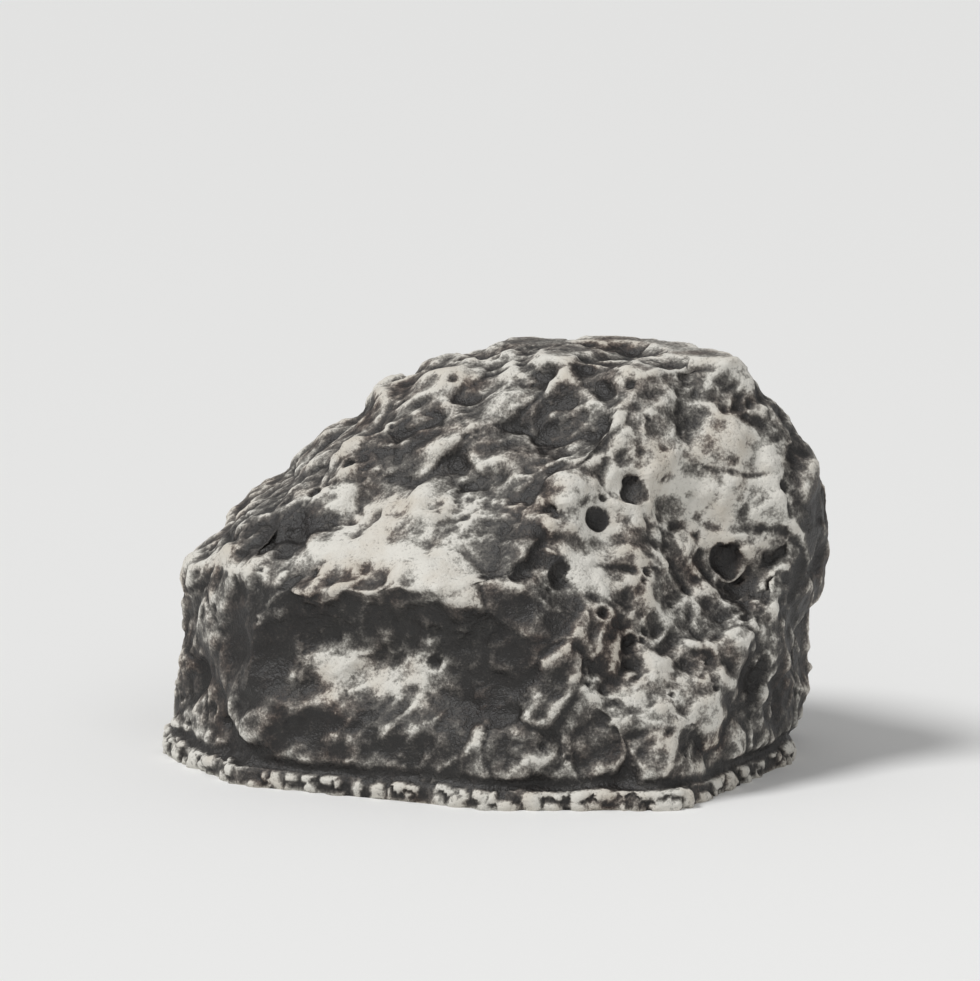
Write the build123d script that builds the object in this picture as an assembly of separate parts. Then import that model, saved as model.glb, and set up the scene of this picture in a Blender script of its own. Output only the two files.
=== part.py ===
"""Hide-a-key rock: a cast resin boulder whose flat underside holds a clear plug-in tray for keys.

Millimetres, +Z up. The origin is the centre of the boulder's bounding box, on the ground.
The boulder is a block with broken faces struck off it, worn, hollowed and set on a rimmed foot.
The tray is pushed up into a pocket in the foot, rim first, and its floor closes the underside.
"""

from build123d import *
import os
from dataclasses import dataclass
from math import cos, radians, sin

# Boulder
END_WALL = 11.0  # from the boulder's outermost point to a tray that lies central
SIDE_WALL = 14.2
CROWN_THICKNESS = 39.5  # over the tray's arch
EDGE_ROUNDING = 1.4  # worn radius on the edges between broken faces
LIP_HEIGHT = 2.6  # rim round the foot, where the resin met the edge of the mould
LIP_PROUD = 0.9
LIP_ROUNDING = 0.8

# Cove under the shelf on the boulder's front
SHELF_HEIGHT = 29.0  # underside of the shelf, at its front edge
COVE_OPENING = 20.0  # height of the cove's mouth
COVE_DEPTH = 4.2  # at mid length; the cove runs out towards +X
COVE_TURN = 5.0  # degrees between the cove and the boulder's length

# Key tray
TRAY_LENGTH = 64.0  # outside, at the foot
TRAY_WIDTH = 42.6
TRAY_END_HEIGHT = 12.5  # at the four corners
TRAY_ARCH_RISE = 3.0  # the long walls are this much higher at mid length
TRAY_END_SCOOP = 1.6  # the end walls dip by this much at mid width
TRAY_WALL = 1.8  # at the floor; the draft thins it towards the rim
TRAY_FLOOR = 1.6
TRAY_CORNER = 3.2  # plan radius, outside
TRAY_FOOT_ROUNDING = 1.2  # round the outside of the floor
TRAY_INSIDE_ROUNDING = 0.9
DRAFT = 1.0  # degrees, on the tray's walls and on the pocket that takes them

# How the tray seats
SIDE_CLEARANCE = 0.25
TOP_CLEARANCE = 0.3
TRAY_RECESS = 0.4  # the tray's floor stays this far inside the base
MOUTH_BEVEL = 1.5  # finger-nail groove round the pocket's mouth
POCKET_SHIFT = -1.0  # the pocket lies off centre along X, away from the overhanging end

# Overall size of the boulder, which is cast round the tray
ROCK_LENGTH = TRAY_LENGTH + 2 * END_WALL  # along X
ROCK_WIDTH = TRAY_WIDTH + 2 * SIDE_WALL  # along Y
ROCK_HEIGHT = TRAY_END_HEIGHT + TRAY_ARCH_RISE + CROWN_THICKNESS


@dataclass(frozen=True)
class Facet:
    """One broken face, set out by how far it stands in from the blank's corner on that heading."""

    heading: float  # degrees from +X, towards +Y
    rise: float  # degrees above level that the face looks; a negative face overhangs
    inset: float


@dataclass(frozen=True)
class Hollow:
    """A ball-shaped hollow in the skin, seen along a line of sight from the boulder's heart."""

    heading: float
    rise: float
    radius: float
    depth: float  # less than the radius


# Faces set out at ground level, round the boulder's foot
FOOT_FACETS = [
    Facet(-1, -6, 4.0),
    Facet(28, -11, 14.6),
    Facet(62, 7, 11.2),
    Facet(90, 7, LIP_PROUD),
    Facet(125, 9, 11.6),
    Facet(154, 8, 8.5),
    Facet(180, 8, LIP_PROUD),
    Facet(207, 7, 10.9),
    Facet(234, 6, 13.8),
    Facet(270, 0, LIP_PROUD),
    Facet(295, 7, 12.0),
    Facet(334, 14, 9.2),
]
# Faces set out at the height of the boulder's top
CROWN_FACETS = [
    Facet(14, 11, 6.0),
    Facet(27, 40, 23.0),
    Facet(61, 38, 28.0),
    Facet(94, 27, 16.0),
    Facet(142, 43, 44.0),
    Facet(180, 34, 21.5),
    Facet(209, 51, 50.0),
    Facet(231, 68, 40.0),
    Facet(269, 50, 33.8),
    Facet(322, 24, 34.6),
    Facet(352, 67, 17.5),
    Facet(101, 67, 27.5),
    Facet(202, 77, 55.5),
]
HEART_HEIGHT = 22.0  # above the ground, on the pocket's centre line
# Shallow scars that thin flakes left on the broader faces
FLAKE_SCARS = [
    Hollow(300, 30, 34.0, 2.2),
    Hollow(352, 12, 34.0, 2.2),
    Hollow(240, 34, 28.0, 1.8),
    Hollow(45, 24, 32.0, 2.2),
    Hollow(108, 22, 30.0, 2.2),
    Hollow(160, 34, 30.0, 2.0),
    Hollow(328, 56, 26.0, 1.6),
    Hollow(72, 56, 26.0, 1.6),
]
# Round gas holes in the stone that the boulder was moulded from
VUGS = [
    Hollow(314, 29, 1.8, 1.6),
    Hollow(327, 26, 1.5, 1.3),
    Hollow(339, 31, 1.7, 1.5),
    Hollow(315, 14, 2.0, 1.7),
    Hollow(357, 12, 1.9, 1.6),
    Hollow(4, 10, 1.2, 1.0),
    Hollow(258, 30, 1.6, 1.3),
    Hollow(30, 38, 1.8, 1.5),
    Hollow(95, 30, 1.7, 1.5),
    Hollow(165, 28, 1.9, 1.6),
]


def arc_radius(chord, rise):
    """Radius of the arc that rises this far over a chord."""
    return ((chord / 2) ** 2 + rise**2) / (2 * rise)


def facing(heading, rise):
    """Unit vector that looks along a heading and a rise."""
    level = cos(radians(rise))
    return Vector(level * cos(radians(heading)), level * sin(radians(heading)), sin(radians(rise)))


def facet_plane(facet, height):
    """A facet's plane, which crosses the given height at its inset from the blank's corner."""
    out = facing(facet.heading, 0)
    corner = abs(out.X) * ROCK_LENGTH / 2 + abs(out.Y) * ROCK_WIDTH / 2
    crossing = out * (corner - facet.inset) + Vector(0, 0, height)
    return Plane(origin=crossing, z_dir=facing(facet.heading, facet.rise))


def broken_blank():
    """The boulder's mass: a block with every facet struck off it."""
    stone = Box(ROCK_LENGTH, ROCK_WIDTH, ROCK_HEIGHT, align=(Align.CENTER, Align.CENTER, Align.MIN))
    for facet in FOOT_FACETS:
        stone = split(stone, bisect_by=facet_plane(facet, 0), keep=Keep.BOTTOM)
    for facet in CROWN_FACETS:
        stone = split(stone, bisect_by=facet_plane(facet, ROCK_HEIGHT), keep=Keep.BOTTOM)
    return stone


def worn(stone):
    """The blank with every edge rounded, apart from those of its foot."""
    edges = stone.edges().filter_by(lambda edge: edge.bounding_box().max.Z > LIP_HEIGHT)
    return fillet(edges, EDGE_ROUNDING)


def cove():
    """A long round hollow that leaves the shelf standing out above it."""
    radius = arc_radius(COVE_OPENING, COVE_DEPTH)
    centre = Pos(0, COVE_DEPTH - radius - ROCK_WIDTH / 2, SHELF_HEIGHT - COVE_OPENING / 2)
    return centre * Rot(0, 0, COVE_TURN) * Rot(0, 90, 0) * Cylinder(radius, 2 * ROCK_LENGTH)


def hollowed(stone, hollow):
    """The stone with one ball-shaped hollow sunk where the line of sight leaves it."""
    heart = Vector(POCKET_SHIFT, 0, HEART_HEIGHT)
    sight = facing(hollow.heading, hollow.rise)
    hits = stone.find_intersection_points(Axis(heart, sight))
    skin, out = max(hits, key=lambda hit: (hit[0] - heart).dot(sight))
    centre = skin + out * (hollow.radius - hollow.depth)
    # The ball's poles lie across the line of sight, so neither falls in the hollow
    across = out.cross(Vector(0, 0, 1)).normalized()
    return stone - Plane(origin=centre, x_dir=out, z_dir=across) * Sphere(hollow.radius)


def foot_lip(blank):
    """The rounded rim that stands proud all round the boulder's foot."""
    foot = blank.faces().sort_by(Axis.Z).first
    outline = offset(Face(foot.outer_wire()), LIP_PROUD)
    lip = extrude(outline, LIP_HEIGHT, dir=(0, 0, 1))
    return fillet(lip.faces().sort_by(Axis.Z).last.edges(), LIP_ROUNDING)


def plug_plan(growth):
    """Plan of the tray at its foot, grown all round."""
    return RectangleRounded(TRAY_LENGTH + 2 * growth, TRAY_WIDTH + 2 * growth, TRAY_CORNER + growth)


def plug_block(side_gap, top_gap):
    """The drafted block with an arched top that the tray fills, grown by the gaps on its sides and top."""
    crest = TRAY_END_HEIGHT + TRAY_ARCH_RISE
    arch_radius = arc_radius(TRAY_LENGTH, TRAY_ARCH_RISE)
    block = extrude(plug_plan(side_gap), crest + top_gap, taper=DRAFT)
    vault = Pos(0, 0, crest - arch_radius) * Rot(90, 0, 0) * Cylinder(arch_radius + top_gap, 2 * TRAY_WIDTH)
    return block & vault


def pocket():
    """The space in the boulder's underside that takes the tray, with a bevelled mouth."""
    mouth = extrude(plug_plan(SIDE_CLEARANCE + MOUTH_BEVEL), MOUTH_BEVEL, taper=45)
    seat = Pos(0, 0, TRAY_RECESS) * plug_block(SIDE_CLEARANCE, TOP_CLEARANCE)
    return Pos(POCKET_SHIFT, 0, 0) * (seat + mouth)


def rock_body():
    """The boulder, cast in one piece round the pocket."""
    blank = broken_blank()
    stone = worn(blank) - cove()
    for hollow in FLAKE_SCARS + VUGS:
        stone = hollowed(stone, hollow)
    return stone + foot_lip(blank) - pocket()


def tray_cavity():
    """The hollow of the tray, which opens out towards the rim and is rounded where it meets the floor."""
    plan = RectangleRounded(TRAY_LENGTH - 2 * TRAY_WALL, TRAY_WIDTH - 2 * TRAY_WALL, TRAY_CORNER - TRAY_WALL)
    cavity = Pos(0, 0, TRAY_FLOOR) * extrude(plan, TRAY_END_HEIGHT + TRAY_ARCH_RISE, taper=-DRAFT)
    return fillet(cavity.faces().sort_by(Axis.Z).first.edges(), TRAY_INSIDE_ROUNDING)


def end_scoop():
    """The shallow dip in the top of one end wall, which leaves its corners at full height."""
    radius = arc_radius(TRAY_WIDTH - 2 * TRAY_CORNER, TRAY_END_SCOOP)
    centre = Pos((TRAY_LENGTH - TRAY_WALL) / 2, 0, TRAY_END_HEIGHT - TRAY_END_SCOOP + radius)
    return centre * Rot(0, 90, 0) * Cylinder(radius, TRAY_WALL)


def key_tray():
    """The clear tray that holds the keys and closes the boulder's underside."""
    block = plug_block(0, 0)
    block = fillet(block.faces().sort_by(Axis.Z).first.edges(), TRAY_FOOT_ROUNDING)
    tray = block - tray_cavity() - end_scoop() - mirror(end_scoop(), about=Plane.YZ)
    return Pos(POCKET_SHIFT, 0, TRAY_RECESS) * tray


def main():
    """Writes each piece to its own file."""
    os.makedirs("parts", exist_ok=True)
    for name, piece in {"rock_body": rock_body(), "key_tray": key_tray()}.items():
        export_step(piece, f"parts/{name}.step")
        print(f"{name}: {piece.volume / 1000:.1f} cm3, box {piece.bounding_box()}")


if __name__ == "__main__":
    main()
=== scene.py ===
"""Looks for the hide-a-key rock: a dry-brushed resin boulder on the clear tray that plugs into it.

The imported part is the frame: metres, +Z up, the ground at z = 0 and the boulder's front towards -Y.
Sizes in the classes are those of the real pieces, in millimetres, and MM turns them to metres.
"""

import logging
import math
from collections.abc import Callable, Iterable, Mapping
from dataclasses import dataclass
from enum import Enum
from typing import Any

import bmesh
import bpy
import numpy as np
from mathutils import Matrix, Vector, kdtree, noise

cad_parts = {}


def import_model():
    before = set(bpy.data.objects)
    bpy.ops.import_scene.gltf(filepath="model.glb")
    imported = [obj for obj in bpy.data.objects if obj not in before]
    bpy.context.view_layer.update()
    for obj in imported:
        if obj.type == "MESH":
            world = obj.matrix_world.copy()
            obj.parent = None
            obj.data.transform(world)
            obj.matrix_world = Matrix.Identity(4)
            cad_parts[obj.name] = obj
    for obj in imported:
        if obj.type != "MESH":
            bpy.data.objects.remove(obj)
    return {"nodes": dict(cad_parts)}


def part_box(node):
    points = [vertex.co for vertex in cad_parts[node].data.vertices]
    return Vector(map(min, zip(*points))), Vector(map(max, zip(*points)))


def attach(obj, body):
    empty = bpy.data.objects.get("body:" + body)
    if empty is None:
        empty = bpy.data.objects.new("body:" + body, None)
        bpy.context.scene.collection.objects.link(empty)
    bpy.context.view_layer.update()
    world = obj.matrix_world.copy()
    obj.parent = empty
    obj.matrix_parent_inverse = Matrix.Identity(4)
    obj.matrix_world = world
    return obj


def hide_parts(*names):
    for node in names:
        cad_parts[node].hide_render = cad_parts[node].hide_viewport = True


LOG = logging.getLogger("hide_a_key_rock")
MM = 0.001
PAINT_AND_SHADE = "brushed"  # point attribute: how much paint the brush left, from none at 0 to solid at 1, with painted shade as less paint in a few places
BARE = -1.0  # its value where no brush went
NOISE_SEED = 3  # without a seed, noise_vector gives another result in each run
WELD = 0.002  # mm; vertices nearer to each other than this are one
LEVEL = 0.01  # mm; what is nearer to the ground than this lies on it

Socket = bpy.types.NodeSocket
Point = tuple[float, float, float]
Span = tuple[float, float]


class Node(Enum):
    """CAD nodes of the part."""

    BOULDER = "rock_body"
    TRAY = "key_tray"


class Body(Enum):
    """CAD bodies that the pieces ride on."""

    BOULDER = "boulder"
    TRAY = "tray"


class Slot(Enum):
    """Material slots of the part's record."""

    RESIN = "cast_resin"
    CLEAR = "clear_plastic"


class LampKind(Enum):
    """Kinds of studio lamp."""

    DISTANT = "SUN"
    SOFTBOX = "AREA"


def linear(colour: str) -> tuple[float, float, float, float]:
    """Turns an sRGB colour to the linear one that shaders take.

    Args:
        colour: Six hex digits after a hash sign.

    Returns:
        Linear red, green and blue, and an alpha of 1.
    """
    parts = [int(colour[i : i + 2], 16) / 255 for i in (1, 3, 5)]
    red, green, blue = (c / 12.92 if c <= 0.04045 else ((c + 0.055) / 1.055) ** 2.4 for c in parts)
    return red, green, blue, 1.0


def add_node(
    tree: bpy.types.NodeTree,
    kind: str,
    inputs: Mapping[str | int, Any] | None = None,
    stops: Iterable[tuple[float, str]] = (),
    **settings: Any,
) -> bpy.types.Node:
    """Adds one node with its settings and links.

    Args:
        tree: Node tree that takes the node.
        kind: Blender's type name of the node.
        inputs: Value or source socket for each input that isn't left as it is.
        stops: Position and sRGB hex colour of each stop, in order, where the node is a colour ramp.
        settings: Properties of the node itself.

    Returns:
        The new node.
    """
    node = tree.nodes.new(kind)
    for name, value in settings.items():
        setattr(node, name, value)
    for key, value in (inputs or {}).items():
        if isinstance(value, Socket):
            tree.links.new(value, node.inputs[key])
        else:
            node.inputs[key].default_value = value
    for index, (position, colour) in enumerate(stops):
        elements = node.color_ramp.elements
        element = elements[index] if index < 2 else elements.new(position)
        element.position, element.color = position, linear(colour)
    return node


def blank_material(name: str) -> bpy.types.Material:
    """Makes a material with an empty node tree.

    Args:
        name: Name of the material.

    Returns:
        The new material.
    """
    material = bpy.data.materials.new(name)
    material.use_nodes = True
    material.node_tree.nodes.clear()
    return material


def placed(name: str, data: bpy.types.ID) -> bpy.types.Object:
    """Puts a new object in the scene.

    Args:
        name: Name of the object.
        data: Its mesh, light or camera.

    Returns:
        The new object.
    """
    thing = bpy.data.objects.new(name, data)
    bpy.context.scene.collection.objects.link(thing)
    return thing


def welded(mesh: bpy.types.Mesh) -> bmesh.types.BMesh:
    """Copies a CAD mesh to work on, with its faces joined where they meet.

    Args:
        mesh: CAD mesh, which stays as it is.

    Returns:
        The working copy.
    """
    work = bmesh.new()
    work.from_mesh(mesh)
    bmesh.ops.remove_doubles(work, verts=work.verts, dist=WELD * MM)
    return work


def stored(work: bmesh.types.BMesh, name: str) -> bpy.types.Mesh:
    """Turns a working copy to a mesh, and frees the copy.

    Args:
        work: Working copy.
        name: Name of the mesh.

    Returns:
        The new mesh.
    """
    mesh = bpy.data.meshes.new(name)
    work.to_mesh(mesh)
    work.free()
    return mesh


def ground_faces(work: bmesh.types.BMesh) -> list[bmesh.types.BMFace]:
    """The faces that lie flat on the ground."""
    return [face for face in work.faces if all(abs(vertex.co.z) < LEVEL * MM for vertex in face.verts)]


def joined_to(start: bmesh.types.BMVert) -> set[bmesh.types.BMVert]:
    """Finds all that hangs together with one vertex.

    Args:
        start: Vertex to set out from.

    Returns:
        That vertex, and every other that edges lead to.
    """
    found, front = {start}, [start]
    while front:
        for edge in front.pop().link_edges:
            for vertex in edge.verts:
                if vertex not in found:
                    found.add(vertex)
                    front.append(vertex)
    return found


def without(work: bmesh.types.BMesh, dropped: set[bmesh.types.BMVert], name: str) -> bpy.types.Mesh:
    """Makes a mesh that leaves out some of a working copy's vertices.

    Args:
        work: Working copy, which stays as it is.
        dropped: Vertices that the mesh leaves out.
        name: Name of the mesh.

    Returns:
        The new mesh.
    """
    work.verts.index_update()
    indices = {vertex.index for vertex in dropped}
    copy = work.copy()
    copy.verts.ensure_lookup_table()
    bmesh.ops.delete(copy, geom=[copy.verts[index] for index in indices], context="VERTS")
    return stored(copy, name)


def sampled(points: np.ndarray, sample: Callable[[Vector], float]) -> np.ndarray:
    """Value of a noise function at every point.

    Args:
        points: Positions, one row each.
        sample: Function of one position.

    Returns:
        One value for each row.
    """
    return np.fromiter((sample(Vector(point)) for point in points), float, len(points))


def smooth_step(values: np.ndarray, low: float, high: float) -> np.ndarray:
    """Rises smoothly from 0 at low to 1 at high."""
    share = np.clip((values - low) / (high - low), 0, 1)
    return share * share * (3 - 2 * share)


class Skin:
    """A mesh whose points are worked on as an array, in millimetres."""

    BEND = 3.0  # size of the noise that bends the borders of cells, in warps

    def __init__(self, mesh: bpy.types.Mesh) -> None:
        """Reads the mesh.

        Args:
            mesh: Mesh in metres, which store() writes back to.
        """
        self.mesh = mesh
        flat = np.empty(len(mesh.vertices) * 3, np.float32)
        mesh.vertices.foreach_get("co", flat)
        self.points = flat.reshape(-1, 3).astype(float) / MM
        pairs = np.empty(len(mesh.edges) * 2, np.int32)
        mesh.edges.foreach_get("vertices", pairs)
        self.edges = pairs.reshape(-1, 2)
        self.neighbours = np.bincount(self.edges.ravel(), minlength=len(self.points))

    def store(self) -> None:
        """Writes the points back to the mesh."""
        self.mesh.vertices.foreach_set("co", (self.points * MM).astype(np.float32).ravel())
        self.mesh.update()

    def normals(self) -> np.ndarray:
        """Stores the points and works out their normals.

        Returns:
            Outward unit normal at every point.
        """
        self.store()
        flat = np.empty(len(self.points) * 3, np.float32)
        self.mesh.vertex_normals.foreach_get("vector", flat)
        return flat.reshape(-1, 3).astype(float)

    def blurred(self, values: np.ndarray, rounds: int) -> np.ndarray:
        """Values averaged over their neighbours.

        Args:
            values: One row for each point.
            rounds: How often the average is taken.

        Returns:
            The averaged rows.
        """
        first, second = self.edges.T
        columns = values.reshape(len(values), -1).T.copy()
        for _ in range(rounds):
            for column in columns:
                total = np.bincount(first, column[second], len(column))
                total += np.bincount(second, column[first], len(column))
                column[:] = (column + total) / (1 + self.neighbours)
        return columns.T.reshape(values.shape)

    def nearest(self, centres: np.ndarray, count: int, warp: float) -> tuple[np.ndarray, np.ndarray]:
        """The centres nearest to each point.

        Args:
            centres: Positions to choose from.
            count: How many to find for each point.
            warp: How far noise moves a point before the search, which bends the cells' borders.

        Returns:
            Index and distance of each centre found, nearest first.
        """
        tree = kdtree.KDTree(len(centres))
        for index, centre in enumerate(centres):
            tree.insert(centre, index)
        tree.balance()
        indices = np.empty((len(self.points), count), int)
        distances = np.empty((len(self.points), count))
        for row, point in enumerate(self.points):
            place = Vector(point)
            place += warp * noise.noise_vector(place / (self.BEND * warp))
            for column, (_, index, distance) in enumerate(tree.find_n(place, count)):
                indices[row, column] = index
                distances[row, column] = distance
        return indices, distances


def scattered(low: np.ndarray, high: np.ndarray, spacing: float, seed: int) -> np.ndarray:
    """One random position in each cell of a grid over a box.

    Args:
        low: Lowest corner of the box.
        high: Highest corner of the box.
        spacing: Size of a cell.
        seed: Seed of the random positions.

    Returns:
        The positions, one row each.
    """
    low = low - spacing
    counts = np.ceil((high + spacing - low) / spacing).astype(int)
    cells = np.stack(np.meshgrid(*map(np.arange, counts), indexing="ij"), -1).reshape(-1, 3)
    return low + (cells + np.random.default_rng(seed).random(cells.shape)) * spacing


@dataclass(frozen=True)
class Plates:
    """Plates of broken stone: each stands at its own height and lean, with a crease between them."""

    size: float
    step: float  # most that a plate stands up or down
    lean: float
    softness: float  # width over which one plate passes into the next
    crease: float
    seed: int

    NEIGHBOURS = 4  # plates that each point is worked out from
    WARP = 0.25  # how far the plates' borders wander, in plates

    def heights(self, skin: Skin) -> np.ndarray:
        """Works out the plates' relief.

        Args:
            skin: Skin that the plates lie on.

        Returns:
            Height of the plates over each point.
        """
        centres = scattered(skin.points.min(0), skin.points.max(0), self.size, self.seed)
        random = np.random.default_rng(self.seed + 1)
        steps = random.uniform(-self.step, self.step, len(centres))
        leans = random.normal(0, self.lean, centres.shape)
        index, distance = skin.nearest(centres, self.NEIGHBOURS, self.WARP * self.size)
        share = np.exp((distance[:, :1] - distance) / self.softness)
        share /= share.sum(1, keepdims=True)
        away = skin.points[:, None, :] - centres[index]
        plates = steps[index] + (away * leans[index]).sum(2)
        border = np.exp(-(((distance[:, 1] - distance[:, 0]) / self.softness) ** 2))
        return (share * plates).sum(1) - self.crease * border


@dataclass(frozen=True)
class Folds:
    """Long low ridges in the stone, drawn out along one direction."""

    size: float
    height: float
    stretch: float
    along: Point

    RIDGES = (0.9, 2.1, 3, 0.9, 1.6)  # H, lacunarity, octaves, offset and gain of the ridged noise

    def heights(self, skin: Skin) -> np.ndarray:
        """Works out the ridges' relief.

        Args:
            skin: Skin that the ridges lie on.

        Returns:
            Height of the ridges over each point.
        """
        along = np.array(self.along) / np.linalg.norm(self.along)
        lengthwise = (skin.points @ along)[:, None] * along
        squeezed = (skin.points - lengthwise * (1 - 1 / self.stretch)) / self.size
        ridges = sampled(squeezed, lambda place: noise.ridged_multi_fractal(place, *self.RIDGES))
        return self.height * (ridges - ridges.mean())


@dataclass(frozen=True)
class Lumps:
    """Soft fractal lumps."""

    size: float
    height: float
    octaves: int

    FALL = (1.0, 2.0)  # H and lacunarity of the fractal noise

    def heights(self, skin: Skin) -> np.ndarray:
        """Height of the lumps over each point of a skin."""
        lumps = sampled(skin.points / self.size, lambda place: noise.fractal(place, *self.FALL, self.octaves))
        return self.height * lumps


@dataclass(frozen=True)
class Pits:
    """Round gas holes of many sizes, scattered over the stone."""

    count: int
    smallest: float  # radius
    largest: float
    seed: int

    RARITY = 2.5  # the higher, the fewer of the pits are large
    DEPTH = 0.9  # of a pit, in radii

    def heights(self, skin: Skin) -> np.ndarray:
        """Works out how deep the pits are.

        Args:
            skin: Skin that the pits are in.

        Returns:
            Depth of the pits at each point, as a height below 0.
        """
        random = np.random.default_rng(self.seed)
        tree = kdtree.KDTree(len(skin.points))
        for index, point in enumerate(skin.points):
            tree.insert(point, index)
        tree.balance()
        heights = np.zeros(len(skin.points))
        for start in random.choice(len(skin.points), self.count, replace=False):
            radius = self.smallest + (self.largest - self.smallest) * random.random() ** self.RARITY
            for _, index, distance in tree.find_range(Vector(skin.points[start]), radius):
                depth = self.DEPTH * radius * (1 - (distance / radius) ** 2)
                heights[index] = min(heights[index], -depth)
        return heights


@dataclass(frozen=True)
class Hollow:
    """A place where the whole skin lies deeper."""

    centre: Point
    radius: float
    depth: float

    def heights(self, skin: Skin) -> np.ndarray:
        """Depth of the hollow at each point of a skin, as a height below 0."""
        distance = np.linalg.norm(skin.points - self.centre, axis=1)
        return -self.depth * np.exp(-((distance / self.radius) ** 2))


@dataclass(frozen=True)
class Vug:
    """One of the CAD solid's larger gas holes, which the brush passed over."""

    centre: Point
    radius: float

    SIDES = 4  # the higher, the steeper the hole's sides are
    RING = 1.45  # radius of the ring round the hole, in the hole's radii
    RING_WIDTH = 0.4

    def share(self, points: np.ndarray) -> np.ndarray:
        """How far each point is inside the hole, from 0 at its lip to 1."""
        distance = np.linalg.norm(points - self.centre, axis=1)
        return np.clip(1 - (distance / self.radius) ** self.SIDES, 0, 1)

    def rim(self, points: np.ndarray) -> np.ndarray:
        """How near each point is to the ring round the hole, from 0 to 1."""
        distance = np.linalg.norm(points - self.centre, axis=1) / self.radius
        return np.exp(-(((distance - self.RING) / self.RING_WIDTH) ** 2))


@dataclass(frozen=True)
class Stroke:
    """One stroke of the brush, which leaves more paint along its way, or less if its paint is negative; some
    of the strokes with less paint are painted shade.
    """

    start: Point
    end: Point
    width: float
    paint: float

    def share(self, points: np.ndarray) -> np.ndarray:
        """Works out what the stroke reaches.

        Args:
            points: Places on the skin.

        Returns:
            How much of the stroke reaches each point, from 0 to 1 along its middle.
        """
        start = np.array(self.start)
        way = self.end - start
        along = np.clip((points - start) @ way / (way @ way), 0, 1)
        distance = np.linalg.norm(points - start - along[:, None] * way, axis=1)
        return np.exp(-((distance / self.width) ** 2))


SHELF = Stroke((-11.5, -29.0, 32.2), (9.5, -30.8, 30.8), 4.2, 0.80)  # calm stone, and the palest paint


@dataclass(frozen=True)
class DryBrushedResin:
    """Stone-filled polyester resin, cast in a rubber mould, tinted charcoal and dry-brushed with off-white.

    The eye gets near-black hollows with a faint satin gleam, and matt chalky paint that has caught only on
    what stands proud, broken up by the grain of the cast stone.
    """

    hollow: str = "#201e1c"
    resin: str = "#33302d"
    wash: str = "#65625d"
    chalk: str = "#a19e97"
    paint: str = "#dedbd3"
    warm: str = "#7a6a66"  # over a neutral half grey, the brown cast of the resin in places
    grain: float = 0.42  # the filler's grit, which the brush skips over
    blotch: float = 1.9  # patches where the brush was wetter or drier
    tint: float = 8.0  # patches with more or less of the brown cast
    octaves: float = 3.0
    harshness: float = 0.65
    grain_break: float = 1.1  # how much the grit breaks the paint up
    blotch_break: float = 0.7
    break_mean: float = 0.9  # what the two add on average, taken off again
    tinted: Span = (0.42, 0.66)  # tint noise from no brown cast to all of it
    painted: Span = (0.1, 0.6)  # paint from the resin's gleam to the chalk's
    satin: float = 0.46  # roughness of bare resin
    chalky: float = 0.82  # roughness of the paint
    blotch_relief: float = 2.0  # height of the blotches, in heights of the grit
    grit_height: float = 0.2
    ior: float = 1.54

    def material(self) -> bpy.types.Material:
        """Builds the material.

        Returns:
            The boulder's material, which reads the point attribute PAINT_AND_SHADE.
        """
        material = blank_material("cast_resin_dry_brushed")
        tree = material.node_tree
        place = add_node(tree, "ShaderNodeTexCoord").outputs["Object"]
        grit, blotches, tints = (
            add_node(
                tree,
                "ShaderNodeTexNoise",
                {
                    "Vector": place,
                    "Scale": 1 / (size * MM),
                    "Detail": self.octaves,
                    "Roughness": self.harshness,
                },
            ).outputs["Fac"]
            for size in (self.grain, self.blotch, self.tint)
        )
        broken = self.broken(tree, grit, blotches)
        gleam = add_node(
            tree,
            "ShaderNodeMapRange",
            {
                "Value": broken,
                "From Min": self.painted[0],
                "From Max": self.painted[1],
                "To Min": self.satin,
                "To Max": self.chalky,
            },
        ).outputs[0]
        relief = add_node(
            tree, "ShaderNodeMath", {0: blotches, 1: self.blotch_relief, 2: grit}, operation="MULTIPLY_ADD"
        ).outputs[0]
        bump = add_node(
            tree, "ShaderNodeBump", {"Height": relief, "Strength": 1.0, "Distance": self.grit_height * MM}
        ).outputs[0]
        colour = self.colour(tree, broken, tints)
        shader = add_node(
            tree,
            "ShaderNodeBsdfPrincipled",
            {"Base Color": colour, "Roughness": gleam, "Normal": bump, "IOR": self.ior},
        )
        add_node(tree, "ShaderNodeOutputMaterial", {"Surface": shader.outputs[0]})
        return material

    def broken(self, tree: bpy.types.NodeTree, grit: Socket, blotches: Socket) -> Socket:
        """Breaks the brushed paint up.

        Args:
            tree: Node tree of the material.
            grit: Noise of the filler's grit.
            blotches: Noise of the wetter and drier patches.

        Returns:
            How much paint shows, from none at 0 to solid at 1.
        """
        broken = add_node(tree, "ShaderNodeAttribute", attribute_name=PAINT_AND_SHADE).outputs["Fac"]
        for source, share in ((grit, self.grain_break), (blotches, self.blotch_break)):
            broken = add_node(
                tree, "ShaderNodeMath", {0: source, 1: share, 2: broken}, operation="MULTIPLY_ADD"
            ).outputs[0]
        return add_node(
            tree, "ShaderNodeMath", {0: broken, 1: self.break_mean}, operation="SUBTRACT"
        ).outputs[0]

    def colour(self, tree: bpy.types.NodeTree, broken: Socket, tints: Socket) -> Socket:
        """Colours the resin and its paint.

        Args:
            tree: Node tree of the material.
            broken: How much paint shows.
            tints: Noise of the brown cast.

        Returns:
            The colour.
        """
        stops = [
            (0.02, self.hollow),
            (0.18, self.resin),
            (0.45, self.wash),
            (0.68, self.chalk),
            (0.92, self.paint),
        ]
        coat = add_node(tree, "ShaderNodeValToRGB", {"Fac": broken}, stops).outputs["Color"]
        warmth = add_node(
            tree,
            "ShaderNodeMapRange",
            {"Value": tints, "From Min": self.tinted[0], "From Max": self.tinted[1]},
        ).outputs[0]
        return add_node(
            tree,
            "ShaderNodeMix",
            {"Factor": warmth, 6: coat, 7: linear(self.warm)},
            data_type="RGBA",
            blend_type="SOFT_LIGHT",
        ).outputs[2]


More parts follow.
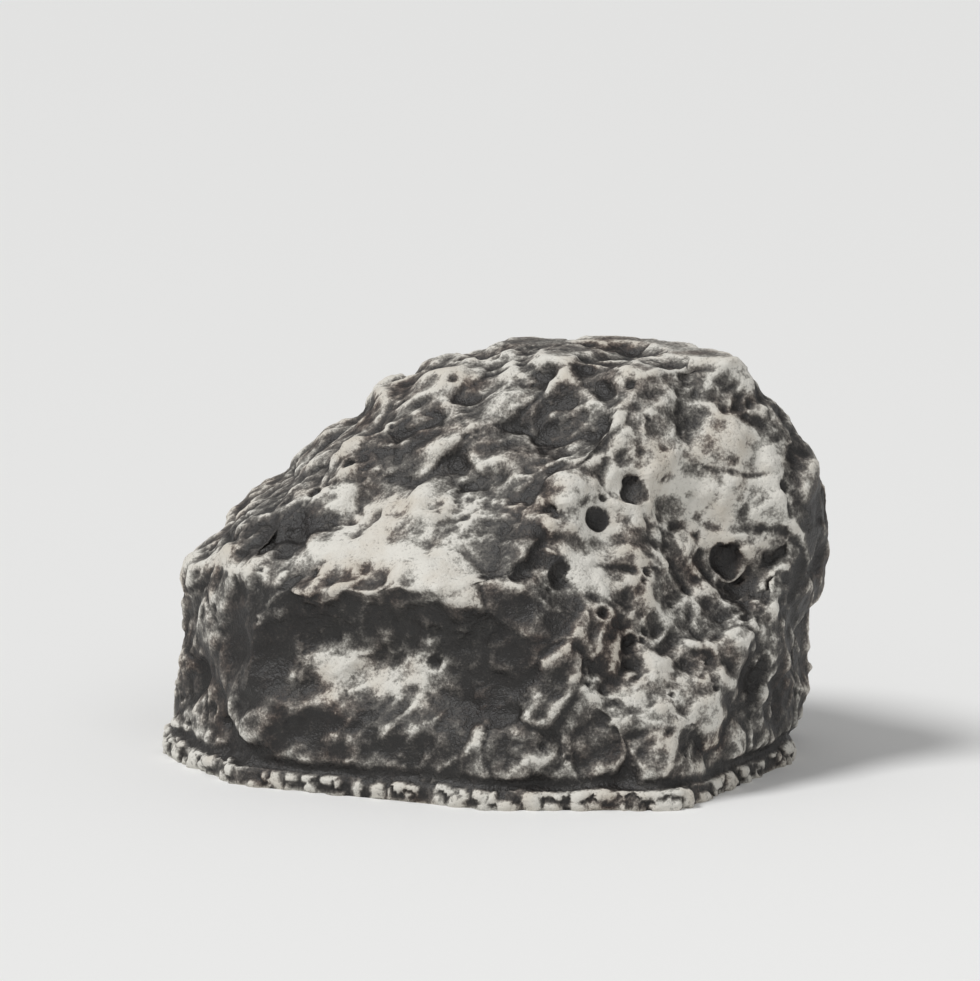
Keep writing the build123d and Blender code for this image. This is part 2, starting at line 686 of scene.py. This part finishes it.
@dataclass(frozen=True)
class ClearPolystyrene:
    """General-purpose polystyrene, injection moulded and left clear.

    The eye gets glass-like walls with a faint cool tint, bright rounded edges and slow flow ripples.
    """

    tint: str = "#f3f8f8"
    ripple: float = 14.0  # width of the flow ripples
    ripple_height: float = 0.4
    ripple_strength: float = 0.3
    octaves: float = 1.0
    polish: Span = (0.015, 0.07)  # roughness from the smoothest patches to the dullest
    ior: float = 1.59

    def material(self) -> bpy.types.Material:
        """Builds the material.

        Returns:
            The tray's material.
        """
        material = blank_material("polystyrene_moulded_clear")
        tree = material.node_tree
        place = add_node(tree, "ShaderNodeTexCoord").outputs["Object"]
        ripples = add_node(
            tree,
            "ShaderNodeTexNoise",
            {"Vector": place, "Scale": 1 / (self.ripple * MM), "Detail": self.octaves},
        ).outputs["Fac"]
        polish = add_node(
            tree,
            "ShaderNodeMapRange",
            {"Value": ripples, "To Min": self.polish[0], "To Max": self.polish[1]},
        ).outputs[0]
        bump = add_node(
            tree,
            "ShaderNodeBump",
            {"Height": ripples, "Strength": self.ripple_strength, "Distance": self.ripple_height * MM},
        ).outputs[0]
        shader = add_node(
            tree,
            "ShaderNodeBsdfPrincipled",
            {
                "Base Color": linear(self.tint),
                "Roughness": polish,
                "IOR": self.ior,
                "Transmission Weight": 1.0,
                "Normal": bump,
            },
        )
        add_node(tree, "ShaderNodeOutputMaterial", {"Surface": shader.outputs[0]})
        return material


@dataclass(frozen=True)
class MattPaper:
    """Seamless studio paper, rolled and matt, which gives an even pale ground with a soft shadow."""

    white: str = "#f0f0ef"
    roughness: float = 0.9

    def material(self) -> bpy.types.Material:
        """Builds the material.

        Returns:
            The floor's material.
        """
        material = blank_material("paper_matt_white")
        tree = material.node_tree
        shader = add_node(
            tree,
            "ShaderNodeBsdfPrincipled",
            {"Base Color": linear(self.white), "Roughness": self.roughness},
        )
        add_node(tree, "ShaderNodeOutputMaterial", {"Surface": shader.outputs[0]})
        return material


@dataclass(frozen=True)
class Relief:
    """The broken, folded and pitted relief of the stone, over the CAD solid's skin."""

    rough_size: float = 12.0  # width of the rougher and the calmer patches
    calmest: float = 0.65  # share of the fine relief that the calmest patches have
    rougher: float = 0.5  # share that the roughest have beyond that
    shelf_calm: float = 0.6  # share of the relief that the shelf lacks
    face_calm: float = 0.35  # share that the face under the shelf lacks

    ROUGH = (-0.3, 0.3)  # noise from the calmest patches to the roughest
    FACE_FRONT = (24.0, 29.0)  # where the calm face begins towards the front, and where it is complete
    FACE_TOP = (24.0, 28.0)  # where it begins to end upwards, and where it has ended
    FACE_RIGHT = (14.0, 26.0)
    BROAD = (
        Lumps(size=16.0, height=1.1, octaves=2),
        Plates(size=9.0, step=0.55, lean=0.12, softness=0.9, crease=0.30, seed=11),
        Folds(size=8.0, height=0.45, stretch=3.0, along=(0.85, 0.25, 0.5)),
    )
    FINE = (
        Folds(size=4.4, height=0.55, stretch=1.7, along=(0.8, 0.1, 0.6)),
        Lumps(size=2.6, height=0.35, octaves=2),
        Pits(count=160, smallest=0.5, largest=1.3, seed=5),
    )
    SHELF_END = Hollow((-18.5, -27.0, 33.8), 4.2, 2.8)  # at the shelf's left end

    def heights(self, skin: Skin) -> np.ndarray:
        """Works out the relief.

        Args:
            skin: Skin that carries it.

        Returns:
            Height of the relief over each point.
        """
        rough = sampled(skin.points / self.rough_size, noise.noise)
        heights = sum(form.heights(skin) for form in self.FINE)
        heights *= self.calmest + self.rougher * smooth_step(rough, *self.ROUGH)
        heights += sum(form.heights(skin) for form in self.BROAD)
        face = self.front_face(skin.points)
        heights *= 1 - self.shelf_calm * SHELF.share(skin.points) - self.face_calm * face
        return heights + self.SHELF_END.heights(skin)

    def front_face(self, points: np.ndarray) -> np.ndarray:
        """Finds the calmer face under the shelf.

        Args:
            points: Places on the skin.

        Returns:
            How far each point is on the face, from 0 to 1.
        """
        across, out, up = points.T
        share = smooth_step(-out, *self.FACE_FRONT) * (1 - smooth_step(up, *self.FACE_TOP))
        return share * (1 - smooth_step(across, *self.FACE_RIGHT))


@dataclass(frozen=True)
class Foot:
    """The pebbled rim round the boulder's foot, and the dark crease above it."""

    height: float = 2.6
    wander: float = 0.9  # how far the rim's upper edge goes up and down
    wander_size: float = 5.0
    edge: Span = (-0.4, 0.4)  # from the rim to the stone above it
    pebble: float = 2.2  # spacing of the pebbles
    pebble_warp: float = 0.6
    pebble_widths: Span = (0.35, 0.95)  # radii of the pebbles, in spacings
    pebble_height: float = 0.9
    rim_depth: float = 0.45  # of the rim between its pebbles
    crease_depth: float = 0.45
    crease_rise: float = 0.8  # of the crease's middle, over the rim's edge
    crease_width: float = 0.7
    pebble_paint: float = 0.6
    rim_spared: float = 0.22  # paint that the rim lacks between its pebbles
    crease_spared: float = 0.25
    seed: int = 31

    def heights(self, skin: Skin) -> np.ndarray:
        """Works out the relief of the rim and the crease.

        Args:
            skin: Skin that they lie on.

        Returns:
            Their height over each point.
        """
        on_rim, in_crease = self.bands(skin.points)
        rim = self.pebble_height * self.pebbles(skin) - self.rim_depth
        return on_rim * rim - self.crease_depth * in_crease

    def paint(self, skin: Skin) -> np.ndarray:
        """Works out the paint on the rim and in the crease.

        Args:
            skin: Weathered skin.

        Returns:
            Paint that they add at each point, or below 0, paint that they take away.
        """
        on_rim, in_crease = self.bands(skin.points)
        rim = self.pebble_paint * self.pebbles(skin) - self.rim_spared
        return on_rim * rim - self.crease_spared * in_crease

    def pebbles(self, skin: Skin) -> np.ndarray:
        """Lays round pebbles all over a skin.

        Args:
            skin: Skin that they lie on.

        Returns:
            How near each point is to a pebble's middle, from 0 between pebbles to 1.
        """
        centres = scattered(skin.points.min(0), skin.points.max(0), self.pebble, self.seed)
        index, distance = skin.nearest(centres, 1, self.pebble_warp)
        random = np.random.default_rng(self.seed + 1)
        width = self.pebble * random.uniform(*self.pebble_widths, len(centres))
        return np.clip(1 - (distance[:, 0] / width[index[:, 0]]) ** 2, 0, 1)

    def bands(self, points: np.ndarray) -> tuple[np.ndarray, np.ndarray]:
        """Finds the rim and the crease above it, both with an uneven edge.

        Args:
            points: Places on the skin.

        Returns:
            How far each point is on the rim, and how far in the crease, from 0 to 1.
        """
        wander = self.wander * sampled(points / self.wander_size, noise.noise)
        height = points[:, 2] - wander - self.height
        in_crease = np.exp(-(((height - self.crease_rise) / self.crease_width) ** 2))
        return 1 - smooth_step(height, *self.edge), in_crease


@dataclass(frozen=True)
class Brushwork:
    """Off-white paint, dragged over the stone with a nearly dry brush, in shares of a solid coat, with
    painted shade where some strokes take paint away.
    """

    everywhere: float = 0.33  # on skin that neither stands proud nor lies low
    upward: float = 0.08  # added where the skin looks straight up
    cloud: float = 0.18  # more or less, from one soft patch to the next
    cloud_size: float = 9.0
    hole_rim: float = 0.3  # added on the ring round a gas hole
    proudest: float = 2.5  # standard deviations; skin that stands prouder catches no more paint

    CLOUDS = (0.8, 2.0, 3)  # H, lacunarity and octaves of the clouds' noise
    # How often the skin is blurred to tell what stands proud of it, and the paint that it catches there
    CATCH = ((3, 0.13), (14, 0.13), (90, 0.08))
    VUGS = (
        Vug((17.3, -18.7, 36.4), 1.9),
        Vug((24.1, -16.2, 36.5), 1.6),
        Vug((26.6, -10.6, 39.8), 1.8),
        Vug((21.6, -23.4, 31.0), 2.1),
        Vug((36.0, -2.0, 29.9), 2.0),
        Vug((40.7, 2.1, 29.6), 1.3),
    )
    STROKES = (
        SHELF,
        # Above the shelf, on its back, and the rim at its left end
        Stroke((-12.0, -22.0, 37.0), (8.5, -23.0, 37.0), 3.6, 0.48),
        Stroke((-10.0, -21.5, 37.0), (-1.5, -23.5, 37.0), 2.8, 0.30),
        Stroke((-31.0, -22.5, 28.5), (-17.5, -31.8, 28.8), 1.8, 0.50),
        # Between the gas holes, and right of them
        Stroke((24.0, -13.5, 41.5), (24.5, -20.5, 31.0), 3.4, 0.60),
        Stroke((30.5, -5.5, 40.0), (34.5, -2.5, 35.5), 4.2, 0.60),
        Stroke((30.0, -6.0, 44.0), (33.0, -13.0, 26.0), 8.0, 0.18),
        Stroke((27.5, -11.0, 38.0), (33.5, -2.5, 37.0), 3.4, 0.45),
        # Down the right-hand crest
        Stroke((28.5, 1.0, 53.5), (39.0, 5.0, 42.0), 3.5, 0.36),
        Stroke((39.0, 5.0, 42.0), (41.0, 2.0, 30.0), 3.0, 0.30),
        # Low on the front, left and right
        Stroke((-7.5, -32.5, 16.5), (4.5, -31.3, 16.5), 4.0, 0.74),
        Stroke((31.8, -22.5, 15.1), (36.5, -16.0, 9.0), 7.0, 0.30),
        # The top's front edge
        Stroke((0.0, -6.0, 52.5), (8.0, -2.0, 54.5), 5.0, 0.20),
        # Painted shade in the hollow at the shelf's left end; on the face under the shelf, less paint that is
        # partly bare resin and partly painted shade
        Stroke((-20.5, -28.6, 32.6), (-15.0, -24.5, 34.8), 3.6, -0.70),
        Stroke((-29.5, -19.0, 30.5), (-13.0, -28.0, 33.0), 2.6, -0.45),
        # Partly painted shade: the stone under the shelf, darker than its missing paint alone would make it
        Stroke((-19.0, -33.0, 23.0), (21.0, -29.0, 24.0), 5.0, -0.28),
        Stroke((-18.5, -33.0, 20.0), (-18.5, -34.0, 8.0), 5.0, -0.40),
        Stroke((-12.0, -33.5, 9.0), (7.0, -33.5, 9.0), 4.0, -0.30),
        Stroke((10.0, -31.0, 21.0), (19.0, -32.0, 9.0), 6.0, -0.30),
        # Spared: left of the gas holes, and the right end
        Stroke((16.5, -19.5, 38.5), (18.0, -24.5, 32.0), 3.4, -0.45),
        Stroke((38.0, 10.0, 50.0), (43.0, 11.0, 33.0), 3.5, -0.35),
        Stroke((43.0, 11.0, 33.0), (40.5, 4.0, 10.0), 6.0, -0.42),
        # Spared: a bare streak on the upper slope
        Stroke((-11.0, -16.5, 41.5), (-6.0, -14.5, 44.5), 3.5, -0.28),
    )

    def round_holes(self, points: np.ndarray) -> np.ndarray:
        """Paint that the gas holes add round themselves and take away inside."""
        return sum(self.hole_rim * vug.rim(points) - vug.share(points) for vug in self.VUGS)

    def caught(self, skin: Skin, normals: np.ndarray) -> np.ndarray:
        """Works out what the stone's high places catch.

        Args:
            skin: Weathered skin.
            normals: Its normals.

        Returns:
            Paint that each point catches by standing proud, or lacks by lying low.
        """
        caught = np.zeros(len(skin.points))
        for rounds, share in self.CATCH:
            lift = (normals * (skin.points - skin.blurred(skin.points, rounds))).sum(1)
            caught += share * np.clip(lift / lift.std(), -self.proudest, self.proudest)
        return caught

    def amount(self, skin: Skin) -> np.ndarray:
        """Works out the paint that the brush leaves on the stone, and the painted shade that strokes take
        away from it.

        Args:
            skin: Weathered skin.

        Returns:
            Paint at each point, which may be more than solid or less than none.
        """
        normals = skin.normals()
        clouds = sampled(skin.points / self.cloud_size, lambda place: noise.fractal(place, *self.CLOUDS))
        amount = self.everywhere + self.caught(skin, normals) + self.upward * normals[:, 2]
        amount += self.cloud * clouds
        return amount + sum(stroke.paint * stroke.share(skin.points) for stroke in self.STROKES)


@dataclass
class Boulder:
    """The cast boulder: the CAD solid's own pocket and size, in a skin of broken, pitted stone."""

    voxel: float = 0.46  # mesh spacing of the stone's skin
    slack: float = 0.6  # how far the relief may stand out of the CAD solid's box
    drift: float = 0.9  # how far straight edges and round holes are bent
    drift_size: float = 5.0
    least_wall: float = 1.2  # resin that the relief leaves round the pocket
    least_depth: float = 0.15  # that the relief may have even there
    base_edge: float = 0.4  # width of the bare edge of the base
    sharp: float = 30.0  # degrees; an edge of the base or the pocket that turns further stays sharp
    relief: Relief = Relief()
    foot: Foot = Foot()
    brushwork: Brushwork = Brushwork()
    finish: DryBrushedResin = DryBrushedResin()

    GROUNDED = 0.7  # voxels; the skin below this height is set on the ground
    SKIN_ROUNDS = 2  # blurs that take the voxels' steps off the skin
    NORMAL_ROUNDS = 3  # blurs that keep points from crossing as they move out
    FADE = (-0.2, 2.2)  # over the foot's rim, where the relief begins and where it is complete
    SHORTEST = 0.3  # length of a blurred normal below which it isn't drawn out to a unit
    LEAST_LEAN = 1e-3  # keeps the room ahead finite along an axis that a normal doesn't follow

    def build(self, node: bpy.types.Object) -> bpy.types.Object:
        """Builds and dresses the boulder.

        Args:
            node: CAD node that the boulder stands for.

        Returns:
            The boulder, riding on its body.
        """
        low, high = (np.array(corner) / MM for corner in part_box(node.name))
        stone, pocket = self.parted(node)
        skin = Skin(self.remeshed(stone))
        holes = self.brushwork.round_holes(skin.points)
        self.weather(skin, low, high)
        self.paint(skin, holes)
        mesh = self.closed(skin.mesh, pocket)
        boulder = placed("boulder_casting", mesh)
        mesh.materials.append(self.finish.material())
        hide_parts(node.name)
        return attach(boulder, Body.BOULDER.value)

    def parted(self, node: bpy.types.Object) -> tuple[bpy.types.Mesh, bpy.types.Mesh]:
        """Parts the CAD solid's skin from its pocket, along the flat base between them.

        Args:
            node: CAD node of the boulder.

        Returns:
            The closed outer skin, and the open pocket.
        """
        work = welded(node.data)
        bmesh.ops.delete(work, geom=ground_faces(work), context="FACES")
        outside = joined_to(max(work.verts, key=lambda vertex: vertex.co.z))
        inside = [vertex for vertex in work.verts if vertex not in outside]
        pocket = without(work, outside, "boulder_pocket")
        bmesh.ops.delete(work, geom=inside, context="VERTS")
        bmesh.ops.holes_fill(work, edges=[edge for edge in work.edges if edge.is_boundary])
        return stored(work, "boulder_stone"), pocket

    def remeshed(self, stone: bpy.types.Mesh) -> bpy.types.Mesh:
        """The closed skin as an even mesh, fine enough to carry the relief.

        Args:
            stone: Closed outer skin of the CAD solid.

        Returns:
            An even mesh of small quads.
        """
        draft = placed("boulder_draft", stone)
        remesh = draft.modifiers.new("even_skin", "REMESH")
        remesh.mode = "VOXEL"
        remesh.voxel_size = self.voxel * MM
        graph = bpy.context.evaluated_depsgraph_get()
        mesh = bpy.data.meshes.new_from_object(draft.evaluated_get(graph))
        bpy.data.objects.remove(draft)
        mesh.name = "boulder_skin"
        return mesh

    def weather(self, skin: Skin, low: np.ndarray, high: np.ndarray) -> None:
        """Gives the skin its relief, inside the CAD solid's box.

        Args:
            skin: Even skin, which is changed.
            low: Lowest corner of the CAD solid.
            high: Highest corner of the CAD solid.
        """
        skin.points = skin.blurred(skin.points, self.SKIN_ROUNDS)
        grounded = skin.points[:, 2] < self.GROUNDED * self.voxel
        skin.points[grounded, 2] = 0
        begin, full = (self.foot.height + rise for rise in self.FADE)
        above_foot = smooth_step(skin.points[:, 2], begin, full)
        skin.points += self.drift * above_foot[:, None] * self.drifts(skin.points)
        heights = self.relief.heights(skin) * above_foot + self.foot.heights(skin)
        heights = np.maximum(heights, -self.spare_wall(skin.points))
        self.move_out(skin, heights, low, high)
        skin.points[grounded, 2] = 0
        skin.store()

    def drifts(self, points: np.ndarray) -> np.ndarray:
        """Which way noise shifts each point, and its share of the drift."""
        return np.array([noise.noise_vector(Vector(point)) for point in points / self.drift_size])

    def move_out(self, skin: Skin, heights: np.ndarray, low: np.ndarray, high: np.ndarray) -> None:
        """Moves each point of the skin out by its height, as far as there is room.

        Args:
            skin: Skin, which is changed.
            heights: How far each point moves, or below 0, how far it moves in.
            low: Lowest corner of the CAD solid.
            high: Highest corner of the CAD solid.
        """
        normals = skin.blurred(skin.normals(), self.NORMAL_ROUNDS)
        normals[skin.points[:, 2] < self.foot.height, 2] = 0
        normals /= np.maximum(np.linalg.norm(normals, axis=1, keepdims=True), self.SHORTEST)
        ahead = np.where(normals > 0, high - skin.points, skin.points - low) + self.slack
        room = (ahead / np.maximum(np.abs(normals), self.LEAST_LEAN)).min(1)
        skin.points += np.minimum(heights, room)[:, None] * normals

    def spare_wall(self, points: np.ndarray) -> np.ndarray:
        """Works out how much resin there is to spare round the pocket.

        Args:
            points: Places on the skin.

        Returns:
            How far each point may move in before the resin gets too thin.
        """
        low, high = (np.array(corner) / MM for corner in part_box(Node.TRAY.value))
        outside = np.maximum(np.maximum(low - points, points - high), 0)
        return np.maximum(np.linalg.norm(outside, axis=1) - self.least_wall, self.least_depth)

    def paint(self, skin: Skin, holes: np.ndarray) -> None:
        """Works out where a nearly dry brush leaves its paint and where shade is painted as less paint, and
        keeps that on the mesh.

        Args:
            skin: Weathered skin.
            holes: Paint that the gas holes add round themselves and take away inside.
        """
        amount = self.brushwork.amount(skin) + self.foot.paint(skin) + holes
        layer = skin.mesh.attributes.new(PAINT_AND_SHADE, "FLOAT", "POINT")
        layer.data.foreach_set("value", np.clip(amount, 0, 1).astype(np.float32))

    def closed(self, skin: bpy.types.Mesh, pocket: bpy.types.Mesh) -> bpy.types.Mesh:
        """Joins the skin to the pocket with a flat base.

        Args:
            skin: Weathered, painted skin.
            pocket: Pocket of the CAD solid.

        Returns:
            One closed mesh.
        """
        work = bmesh.new()
        work.from_mesh(skin)
        bmesh.ops.delete(work, geom=ground_faces(work), context="FACES")
        stone = set(work.verts)
        foot = [edge for edge in work.edges if edge.is_boundary]
        for part in bmesh.ops.extrude_edge_only(work, edges=foot)["geom"]:
            if isinstance(part, bmesh.types.BMVert):
                part.co.xy *= 1 - self.base_edge * MM / part.co.xy.length
        work.from_mesh(pocket)
        rims = [edge for edge in work.edges if edge.is_boundary]
        filled = bmesh.ops.triangle_fill(work, edges=rims, use_beauty=True)["geom"]
        paint = work.verts.layers.float[PAINT_AND_SHADE]
        for vertex in work.verts:
            if vertex not in stone:
                vertex[paint] = BARE
        self.shade(work, stone, [part for part in filled if isinstance(part, bmesh.types.BMFace)])
        return stored(work, "boulder_casting")

    def shade(
        self, work: bmesh.types.BMesh, stone: set[bmesh.types.BMVert], base: list[bmesh.types.BMFace]
    ) -> None:
        """Shades the stone smooth and the base flat, and turns the base's faces down.

        Args:
            work: Closed boulder, which is changed.
            stone: Vertices of the stone's skin.
            base: Faces of the flat base.
        """
        for face in work.faces:
            face.smooth = True
        for face in base:
            face.smooth = False
            if face.normal.z > 0:
                face.normal_flip()
        for edge in work.edges:
            off_stone = not all(vertex in stone for vertex in edge.verts)
            if off_stone and edge.calc_face_angle(0) > math.radians(self.sharp):
                edge.smooth = False


@dataclass
class KeyTray:
    """The clear tray, with the small rounded edges that a mould gives it."""

    edge_rounding: float = 0.28
    rounding_steps: int = 3
    sharp: float = 40.0  # degrees; an edge that turns further is rounded
    flatness: int = 100  # how much the larger faces rule the shading, which keeps the walls even
    finish: ClearPolystyrene = ClearPolystyrene()

    def build(self, node: bpy.types.Object) -> bpy.types.Object:
        """Builds and dresses the tray.

        Args:
            node: CAD node that the tray stands for.

        Returns:
            The tray, riding on its body.
        """
        mesh = stored(welded(node.data), "tray_moulding")
        mesh.shade_smooth()
        tray = placed("tray_moulding", mesh)
        edges = tray.modifiers.new("moulded_edges", "BEVEL")
        edges.width = self.edge_rounding * MM
        edges.segments = self.rounding_steps
        edges.limit_method = "ANGLE"
        edges.angle_limit = math.radians(self.sharp)
        flats = tray.modifiers.new("even_walls", "WEIGHTED_NORMAL")
        flats.weight = self.flatness
        flats.keep_sharp = True
        mesh.materials.append(self.finish.material())
        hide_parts(node.name)
        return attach(tray, Body.TRAY.value)


@dataclass(frozen=True)
class Lamp:
    """A soft studio lamp that looks at the boulder."""

    name: str
    kind: LampKind
    place: Point  # metres
    energy: float
    width: float  # metres for a softbox, degrees of sky for a distant lamp

    def build(self, target: Vector) -> bpy.types.Object:
        """Builds the lamp.

        Args:
            target: Point that the lamp looks at.

        Returns:
            The lamp.
        """
        light = bpy.data.lights.new(self.name, self.kind.value)
        light.energy = self.energy
        if self.kind is LampKind.DISTANT:
            light.angle = math.radians(self.width)
        else:
            light.size = self.width
        lamp = placed(self.name, light)
        lamp.location = self.place
        lamp.rotation_euler = (target - lamp.location).to_track_quat("-Z", "Y").to_euler()
        return lamp


@dataclass
class Studio:
    """A pale floor, soft lamps, an even sky and the camera, in metres."""

    azimuth: float = 25.6  # degrees round from the front, towards +X
    elevation: float = 9.9  # degrees
    distance: float = 1.11
    lens: float = 300.0  # millimetres
    seen: Span = (0.01, 50.0)  # from the nearest that the camera sees to the furthest
    aim: Point = (0.0, 0.0, 0.036)
    floor_width: float = 12.0
    sky_light: float = 0.38
    sky_white: float = 0.78
    finish: MattPaper = MattPaper()

    LAMPS = (
        Lamp("key_distant", LampKind.DISTANT, (-0.45, -0.55, 1.10), 1.9, 20.0),
        Lamp("gleam_softbox", LampKind.SOFTBOX, (0.50, -0.45, 0.60), 0.7, 0.35),
    )

    def build(self) -> None:
        """Builds the floor, the lamps, the sky and the camera."""
        target = Vector(self.aim)
        self.floor()
        for lamp in self.LAMPS:
            lamp.build(target)
        self.sky()
        self.camera(target)
        bpy.context.scene.view_settings.view_transform = "Standard"

    def floor(self) -> None:
        """Builds the floor."""
        half = self.floor_width / 2
        mesh = bpy.data.meshes.new("floor_paper")
        corners = [(-half, -half, 0), (half, -half, 0), (half, half, 0), (-half, half, 0)]
        mesh.from_pydata(corners, [], [(0, 1, 2, 3)])
        mesh.materials.append(self.finish.material())
        placed("floor_paper", mesh)

    def sky(self) -> None:
        """Builds an even sky, which shows white and lights the boulder less than that."""
        world = bpy.data.worlds.new("even_sky")
        world.use_nodes = True
        tree = world.node_tree
        tree.nodes.clear()
        path = add_node(tree, "ShaderNodeLightPath").outputs
        shown = add_node(
            tree,
            "ShaderNodeMath",
            {0: path["Is Camera Ray"], 1: path["Is Transmission Ray"]},
            operation="MAXIMUM",
        ).outputs[0]
        light, white = (
            add_node(tree, "ShaderNodeBackground", {"Color": (1, 1, 1, 1), "Strength": strength}).outputs[0]
            for strength in (self.sky_light, self.sky_white)
        )
        mixed = add_node(tree, "ShaderNodeMixShader", {0: shown, 1: light, 2: white}).outputs[0]
        add_node(tree, "ShaderNodeOutputWorld", {"Surface": mixed})
        bpy.context.scene.world = world

    def camera(self, target: Vector) -> None:
        """Builds the camera.

        Args:
            target: Point that the camera looks at.
        """
        lens = bpy.data.cameras.new("camera")
        lens.lens = self.lens
        lens.clip_start, lens.clip_end = self.seen
        camera = placed("camera", lens)
        turn, rise = math.radians(self.azimuth), math.radians(self.elevation)
        away = Vector((math.sin(turn) * math.cos(rise), -math.cos(turn) * math.cos(rise), math.sin(rise)))
        camera.location = target + self.distance * away
        camera.rotation_euler = (-away).to_track_quat("-Z", "Y").to_euler()
        bpy.context.scene.camera = camera


def main() -> None:
    """Builds the boulder, its tray and the studio."""
    logging.basicConfig(level=logging.INFO, format="%(message)s")
    noise.seed_set(NOISE_SEED)
    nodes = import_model()["nodes"]
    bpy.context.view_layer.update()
    for maker, node in ((KeyTray(), Node.TRAY), (Boulder(), Node.BOULDER)):
        piece = maker.build(nodes[node.value])
        LOG.info("%s: %d faces", piece.name, len(piece.data.polygons))
    Studio().build()


if __name__ == "__main__":
    main()
